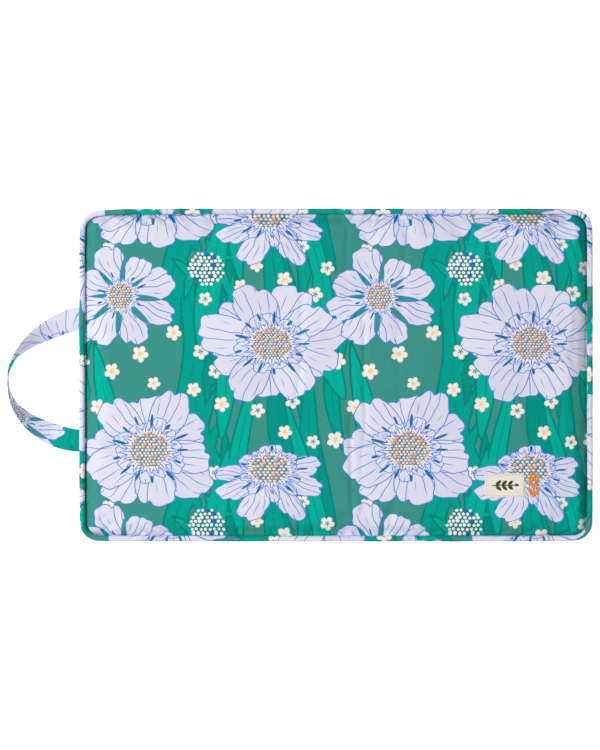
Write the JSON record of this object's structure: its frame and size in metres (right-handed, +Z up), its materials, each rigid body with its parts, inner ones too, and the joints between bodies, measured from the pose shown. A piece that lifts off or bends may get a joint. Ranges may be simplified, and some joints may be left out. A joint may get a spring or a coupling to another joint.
{
  "type": "kneeling pad",
  "caption": "Flat garden kneeling pad: a foam slab in a piped, zipped floral canvas cover, with a fabric carrying loop on one short end.",
  "frame": {"origin": "middle of the pad's flat base, on the ground; the carrying loop isn't counted", "axes": "+X along the pad's length, away from the carrying loop; +Y towards the long side with the zip; +Z up"},
  "size_m": [0.5732, 0.324, 0.0448],
  "materials": {
    "foam": "matte",
    "printed_canvas": "matte",
    "piping_cord": "matte",
    "zip_tape": "matte",
    "zip_coil": "satin",
    "zip_metal": "satin",
    "thread": "matte",
    "webbing": "matte",
    "label_tape": "matte",
    "label_thread": "matte",
    "sprig_thread": "matte",
    "orange_thread": "satin"
  },
  "bodies": {
    "pad": {"foam_core": "foam", "top_panel": "printed_canvas", "base_panel": "printed_canvas", "top_piping_cover": "printed_canvas", "base_piping_cover": "printed_canvas", "top_piping_cord": "piping_cord", "base_piping_cord": "piping_cord", "side_band": "printed_canvas", "upper_zip_facing": "printed_canvas", "lower_zip_facing": "printed_canvas", "upper_zip_tape": "zip_tape", "lower_zip_tape": "zip_tape", "upper_zip_coil": "zip_coil", "lower_zip_coil": "zip_coil", "zip_top_stops": "zip_metal", "zip_bottom_stop": "zip_metal", "zip_stitching": "thread", "handle_tails": "printed_canvas", "label_patch": "label_tape", "label_stitching": "label_thread", "label_sprig": "sprig_thread", "embroidered_bud": "orange_thread"},
    "handle": {"handle_strap": "printed_canvas", "handle_webbing": "webbing"},
    "zip_slider": {"zip_slider": "zip_metal"},
    "zip_pull": {"zip_pull": "zip_metal"}
  },
  "joints": [
    {"name": "handle_swing", "type": "hinge", "parent": "pad", "child": "handle", "pos_m": [-0.2516, -0.0044, 0.0327], "axis": [0, 1, 0], "range_deg": [0, 90]},
    {"name": "zip_slide", "type": "slide", "parent": "pad", "child": "zip_slider", "axis": [-1, 0, 0], "range_m": [0, 0.406]},
    {"name": "zip_pull_swing", "type": "hinge", "parent": "zip_slider", "child": "zip_pull", "pos_m": [0.2036, 0.15765, 0.02025], "axis": [0, 0, -1], "range_deg": [0, 180]}
  ]
}
